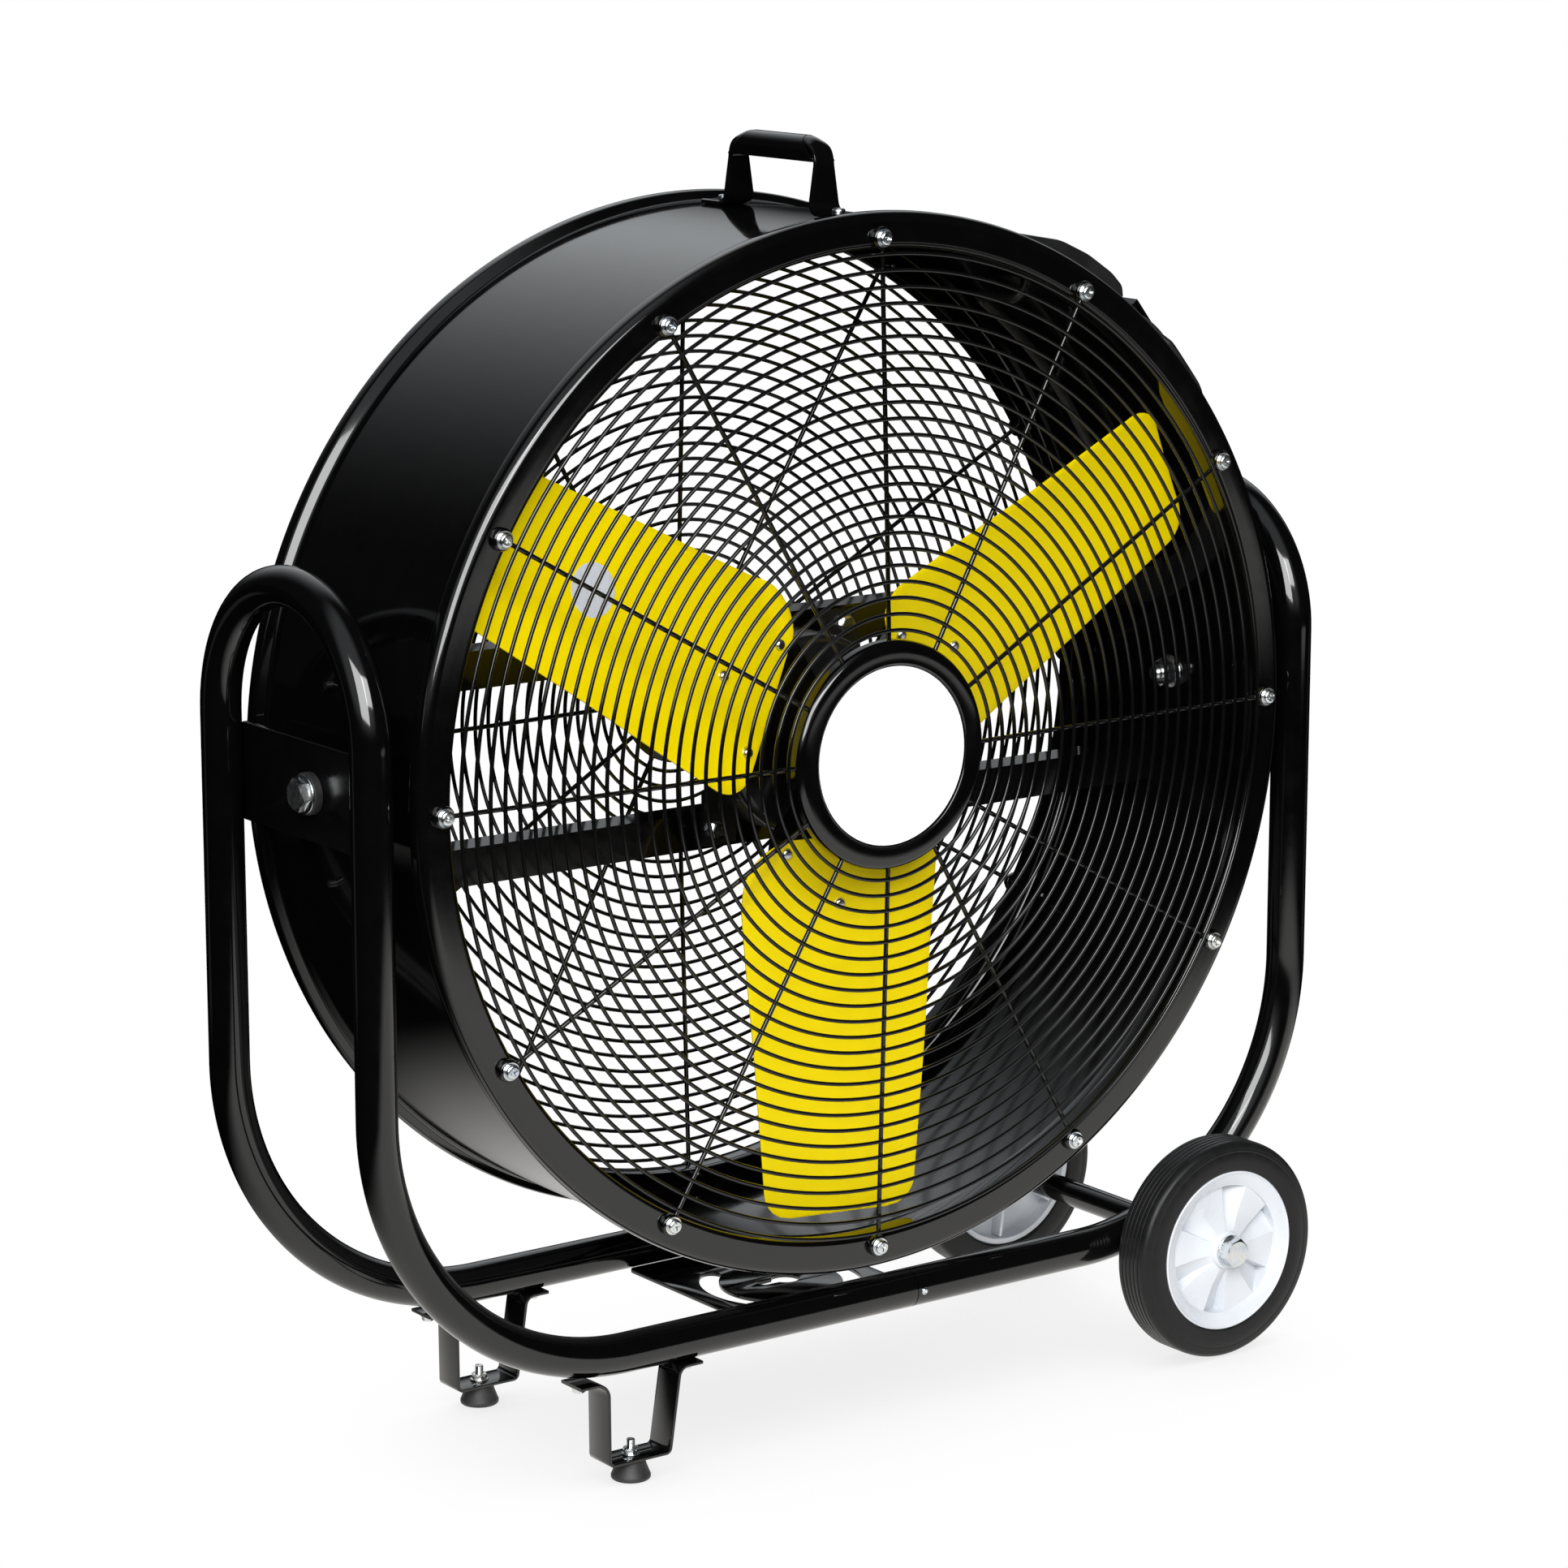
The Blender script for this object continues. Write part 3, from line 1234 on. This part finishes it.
def blade_grid(grow, height):
    """Points by (row, column), with rows crowded towards root and tip."""
    grid = {}
    for j in range(BLADE_ROWS + 1):
        t = j / BLADE_ROWS
        along = 0.45 * t + 0.55 * (0.5 - 0.5 * math.cos(math.pi * t))
        y = (ROOT_R - grow) + (TIP_R - ROOT_R + 2 * grow) * along
        left, right = blade_edges(y, grow)
        for i in range(BLADE_COLUMNS + 1):
            x = left + (right - left) * i / BLADE_COLUMNS
            grid[j, i] = (x, y, height + blade_rise(x, y))
    return grid


def blade_shell():
    rows, columns = BLADE_ROWS, BLADE_COLUMNS
    border = [(0, i) for i in range(columns + 1)]
    border += [(j, columns) for j in range(1, rows + 1)]
    border += [(rows, i) for i in range(columns - 1, -1, -1)]
    border += [(j, 0) for j in range(rows - 1, 0, -1)]
    verts, faces, layers = [], [], []
    for layer, (grow, height) in enumerate(BLADE_LAYERS):
        grid = blade_grid(grow, height)
        is_face = layer in (0, len(BLADE_LAYERS) - 1)
        ids = {}
        for key in grid if is_face else border:
            ids[key] = len(verts)
            verts.append(grid[key])
        if is_face:
            for j in range(rows):
                for i in range(columns):
                    quad = (ids[j, i], ids[j, i + 1], ids[j + 1, i + 1], ids[j + 1, i])
                    faces.append(quad if layer == 0 else quad[::-1])
        layers.append(ids)
    for upper, lower in zip(layers, layers[1:]):
        for a, b in zip(border, border[1:] + border[:1]):
            faces.append((upper[a], lower[a], lower[b], upper[b]))
    return verts, faces


def build_blades():
    shell = blade_shell()
    for i in range(3):
        name = "blade_%d" % (i + 1)
        part = Part().add(shell, blade_frame(i))
        part.make(name + "_pressed", "rotor", "yellow_coat", name, 50)


def build_rotor_fixings():
    dome = [(0, -6), (2.9, -6), (2.9, 2.02), (5.5, 2.02), (5.5, 2.5)]
    dome += arc(1.9, 2.5, 3.4, 0, 78, 7) + [(0, 5.6)]
    tail = [(0, -6.3), (3.0, -6.2), (4.3, -5.2), (4.5, -4.3), (4.2, -4.05), (0, -4.05)]
    rivets = Part()
    for i in range(3):
        for x, y in ((0, 148), (-52, 98), (52, 98)):
            place = blade_frame(i) @ move(x, y, 0)
            rivets.add(lathe(dome, 32), place)
            rivets.add(lathe(tail, 28), place)
    rivets.make("blade_rivets_domed", "rotor", "zinc", "blade_rivets", 35)
    washer = [(9.55, 0), (16.6, 0), (17, 0.4), (17, 1.7), (16.6, 2.0), (9.55, 2.0)]
    nut = Part().add(lathe(washer, 48), FRONT @ move(0, 0, 100.02))
    nut.add(hexnut(28, 9, bore=9.55), FRONT @ move(0, 0, 102.02))
    nut.make("hub_nut_chamfered", "rotor", "zinc", "hub_nut", 25)


def build_sticker():
    """Plain round sticker that follows the surface of the upper left blade."""
    centre_x, centre_y, radius, thickness = 10.0, 310.0, 24.0, 0.22

    def on_blade(points, lift):
        return [(x, y, blade_rise(centre_x + x, centre_y + y) + lift) for x, y in points]

    rows = [on_blade([(0, 0)], thickness)]
    rows += [on_blade(circle(r, 64), thickness) for r in (6, 12, 18, 22.5, radius - 0.3)]
    rows += [on_blade(circle(radius, 64), 0.1), on_blade(circle(radius - 0.1, 64), 0.0)]
    rows += [on_blade([(0, 0)], 0.0)]
    part = Part().add(skin(rows), blade_frame(2) @ move(centre_x, centre_y, 2.05))
    part.make("blade_sticker_plain", "rotor", "grey_label", angle=30)


# ---------------------------------------------------------------- control box and cord
BOX_LEFT, BOX_RIGHT = -122.0, 62.0
LEAD_Y, LEAD_Z = -60, 484


def build_box():
    """Box with a humped top whose underside follows the drum."""

    def drum_height(x):
        return math.sqrt((DRUM_R + 0.1) ** 2 - x * x)

    # (x, distance out from the fan's axis)
    top = [
        (BOX_LEFT, drum_height(BOX_LEFT)), (-104, 467), (-74, 483), (-31, 502), (4, 508),
        (38, 508.5), (55, 505), (BOX_RIGHT, 497), (BOX_RIGHT, drum_height(BOX_RIGHT)),
    ]
    rounded = smoothed([(x, z, 0) for x, z in top], [14, 40, 60, 60, 50, 12, 7], 8)
    outline = [(p[0], p[1]) for p in rounded]
    steps = 30
    for k in range(1, steps):
        x = BOX_RIGHT - (BOX_RIGHT - BOX_LEFT) * k / steps
        outline.append((x, drum_height(x)))
    place = round_drum(BOX_ANGLE) @ move(0, -35, 0) @ turn(90, "X")
    part = Part().add(plate(outline[::-1], [], 100.0, 3.6, 4), place)
    part.make("control_box_moulded", "drum", "black_plastic", "control_box", 32)


def coil_path():
    """Stacked stadium turns, wide and narrow by turns, joined into one path."""
    straight_half, steps = 20, 14
    # (end radius, distance out from the fan's axis) of each turn
    turns = [
        (40, 473.4), (30.6, 473.8), (40, 482.6), (30.6, 483.0),
        (40, 491.7), (30.6, 492.0), (39.6, 500.8), (30.4, 501.0),
    ]
    loops = [
        [(x, y, z) for x, y in arc(straight_half, 0, r, -90, 90, steps)
         + arc(-straight_half, 0, r, 90, 270, steps)]
        for r, z in turns
    ]
    per_turn = 2 * (steps + 1)
    slide_from = per_turn * 0.72
    path = []
    for g in range(len(turns) * per_turn):
        loop, k = divmod(g, per_turn)
        point = Vector(loops[loop][k])
        # slide to the next turn over the last part of this one
        if k > slide_from and loop + 1 < len(turns):
            point = point.lerp(Vector(loops[loop + 1][k]), smooth(slide_from, per_turn, k))
        path.append(point + Vector((0, 0, 0.4 * math.sin(g * 0.83) * math.cos(g * 0.31))))
    return path


def catmull_rom(path, steps=3):
    out = []
    for i in range(len(path) - 1):
        p0, p1, p2 = path[max(i - 1, 0)], path[i], path[i + 1]
        p3 = path[min(i + 2, len(path) - 1)]
        for k in range(steps):
            t = k / steps
            square = (2 * p0 - 5 * p1 + 4 * p2 - p3) * t * t
            cube = (3 * p1 - p0 - 3 * p2 + p3) * t**3
            out.append(0.5 * ((2 * p1) + (p2 - p0) * t + square + cube))
    return out


def build_cord():
    section = circle(CORD_R, 14)
    coil = sweep(catmull_rom(coil_path()), section, (0, 0, 1))
    part = Part().add(coil, round_drum(COIL_ANGLE) @ move(0, COIL_Y, 0))
    box = round_drum(BOX_ANGLE)
    lead = smoothed([(48, LEAD_Y, LEAD_Z), (77, LEAD_Y, LEAD_Z), (91, -57, 481)], [16], 8)
    part.add(sweep(lead, section, (0, 1, 0)), box)
    gland = [(4.5, 0), (8.6, 0), (8.9, 0.4), (8.9, 3.6), (8.2, 4.2), (7.4, 4.4)]
    for k in range(5):  # tapering ribs
        r, z = 7.0 - k * 0.42, 4.8 + k * 2.6
        gland += [(r, z), (r + 0.1, z + 1.2), (r - 0.9, z + 1.5), (r - 0.9, z + 2.3)]
    gland += [(4.5, 18.2)]
    part.add(lathe(gland, 36), box @ move(BOX_RIGHT + 0.1, LEAD_Y, LEAD_Z) @ turn(90, "Y"))
    part.make("power_cord_wound", "drum", "cable", "power_cord", 50)


# ---------------------------------------------------------------- CAD pieces that stay
# those not named here are black_coat
CAD_MATERIALS = {
    "joint_sleeves": "bright_steel", "wheel_axle": "bright_steel",
    "motor_bearings": "bright_steel", "motor_shaft": "bright_steel",
    "axle_spacers": "black_plastic", "pivot_spacers": "black_plastic",
    "speed_switch": "black_plastic", "speed_knob": "black_plastic",
    "bar_screws": "motor_paint", "motor_housing": "motor_paint",
    "motor_front_cover": "motor_paint", "motor_rear_cover": "motor_paint",
    "stator_core": "lamination_steel", "rotor_core": "lamination_steel",
    "stator_windings": "copper_wire", "run_capacitor": "aluminium_can",
    "motor_bolts": "zinc", "motor_nuts": "zinc",
    "motor_cable": "cable", "power_plug": "black_rubber",
}


def paint_cad_pieces():
    for name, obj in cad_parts.items():
        obj.data.materials.clear()
        obj.data.materials.append(MATERIALS[CAD_MATERIALS.get(name, "black_coat")])


# ---------------------------------------------------------------- studio, in metres
def area_light(name, location, width, height, power):
    """Rectangle aimed at the fan and unseen by the camera."""
    light = bpy.data.lights.new(name, "AREA")
    light.shape, light.size, light.size_y, light.energy = "RECTANGLE", width, height, power
    obj = link_object(name, light)
    obj.location = location
    obj.rotation_mode = "QUATERNION"
    aim = Vector((0, 0, 0.6)) - Vector(location)
    obj.rotation_quaternion = aim.to_track_quat("-Z", "Y")
    obj.visible_camera = False
    return obj


def floor_material():
    """Clean white with soft contact shade to the camera; patches of light to other rays."""
    material = bpy.data.materials.new("pale_floor")
    net = Shader(material)
    x, y, _ = net.xyz(net.node("ShaderNodeNewGeometry").outputs["Position"])
    axis_scale = 1.0  # equal on both axes, which keeps the patches round

    def squared(axis, centre):
        return net.math("POWER", net.times(net.math("SUBTRACT", axis, centre), axis_scale), 2.0)

    def distance(centre_x, centre_y):
        return net.math("SQRT", net.plus(squared(x, centre_x), squared(y, centre_y)))

    def strip(angle, half_width, power):
        """Strip of light running out from the centre; it gives the tubes edge lines."""
        dx, dy = polar(1.0, angle)
        along = net.plus(net.times(x, dx), net.times(y, dy))
        across = net.math("ABSOLUTE", net.plus(net.times(x, -dy), net.times(y, dx)))
        inside = net.step(across, half_width, half_width + 0.15, low=1.0, high=0.0)
        return net.times(inside, net.step(along, start=1.8, end=2.2), power)

    pool = net.step(
        distance(centre_x=0.25, centre_y=-0.75), start=1.0, end=1.55, low=1.0, high=0.0
    )
    patch = net.step(
        distance(centre_x=3.0, centre_y=-4.3), start=0.8, end=1.6, low=0.8, high=0.0
    )
    floor_level = 0.002
    light = net.plus(
        pool,
        patch,
        strip(angle=137.0, half_width=0.22, power=0.09),
        strip(angle=-7.5, half_width=0.30, power=0.06),
        floor_level,
    )
    contact = net.node("ShaderNodeAmbientOcclusion", samples=16)
    contact.inputs["Distance"].default_value = 0.30
    shade = net.step(contact.outputs["AO"], start=0.1, end=0.9, low=0.80, high=1.0)
    seen, reflected = net.node("ShaderNodeEmission"), net.node("ShaderNodeEmission")
    net.put(seen.inputs["Strength"], shade)
    net.put(reflected.inputs["Color"], (1.0, 0.985, 0.96))
    net.put(reflected.inputs["Strength"], light)
    net.split_by_ray(seen, reflected)
    return material


def build_floor():
    mesh = bpy.data.meshes.new("studio_floor")
    s, z = 40.0, -0.0006
    mesh.from_pydata([(-s, -s, z), (s, -s, z), (s, s, z), (-s, s, z)], [], [(0, 1, 2, 3)])
    link_object("studio_floor", mesh)
    mesh.materials.append(floor_material())


def build_world():
    """White to the camera; to other rays a dark room lit high behind and at front left."""
    world = bpy.data.worlds.new("studio")
    bpy.context.scene.world = world
    net = Shader(world, "ShaderNodeOutputWorld")
    x, y, z = net.xyz(net.node("ShaderNodeTexCoord").outputs["Generated"])
    back_power, front_power, room_power = 0.95, 0.55, 0.012
    back = net.times(
        net.step(z, start=0.05, end=0.45),
        net.step(y, start=0.15, end=0.6),
        net.step(x, start=-0.45, end=0.45),
        back_power,
    )
    front = net.times(
        net.step(z, start=0.0, end=0.25),
        net.step(x, start=-0.15, end=0.3, low=1.0, high=0.0),
        net.step(y, start=-0.1, end=0.3, low=1.0, high=0.0),
        front_power,
    )
    seen, room = net.node("ShaderNodeBackground"), net.node("ShaderNodeBackground")
    net.put(seen.inputs["Color"], (1, 1, 1))
    net.put(room.inputs["Color"], (0.93, 0.97, 1.0))
    net.put(room.inputs["Strength"], net.plus(back, front, room_power))
    net.split_by_ray(seen, room)


def build_lights():
    area_light("key_softbox", (-2.7, -2.8, 2.5), width=2.8, height=2.4, power=200)
    area_light("front_softbox", (-0.9, -3.9, 3.1), width=2.2, height=1.6, power=110)
    # fills the shaded rear, and is kept out of reflections
    fill = area_light("back_fill", (1.9, 3.2, 2.4), width=2.4, height=2.0, power=130)
    fill.visible_glossy = False


def build_camera():
    camera = bpy.data.cameras.new("camera")
    camera.lens, camera.sensor_width, camera.sensor_fit = 110.24, 36.0, "HORIZONTAL"
    camera.clip_start, camera.clip_end = 0.05, 100
    obj = link_object("camera", camera)
    # the camera looks along -back
    back = Vector((-0.5775, -0.7899, 0.2064)).normalized()
    right = Vector((0.1218, 0.1666, 0.9785)).cross(back).normalized()
    up = back.cross(right).normalized()
    axes = Matrix((right, up, back)).transposed().to_4x4()
    obj.matrix_world = move(-2.526, -3.460, 1.478) @ axes
    bpy.context.scene.camera = obj


build_drum()
build_front_grille()
build_rear_grille()
build_grille_fixings()
build_cap()
build_cradle_tubes()
build_pivot_plates()
build_base_plate()
build_wheels()
build_axle()
build_handle()
build_pivots()
build_feet()
build_blades()
build_rotor_fixings()
build_sticker()
build_box()
build_cord()
paint_cad_pieces()
build_floor()
build_world()
build_lights()
build_camera()
bpy.context.scene.view_settings.view_transform = "Standard"
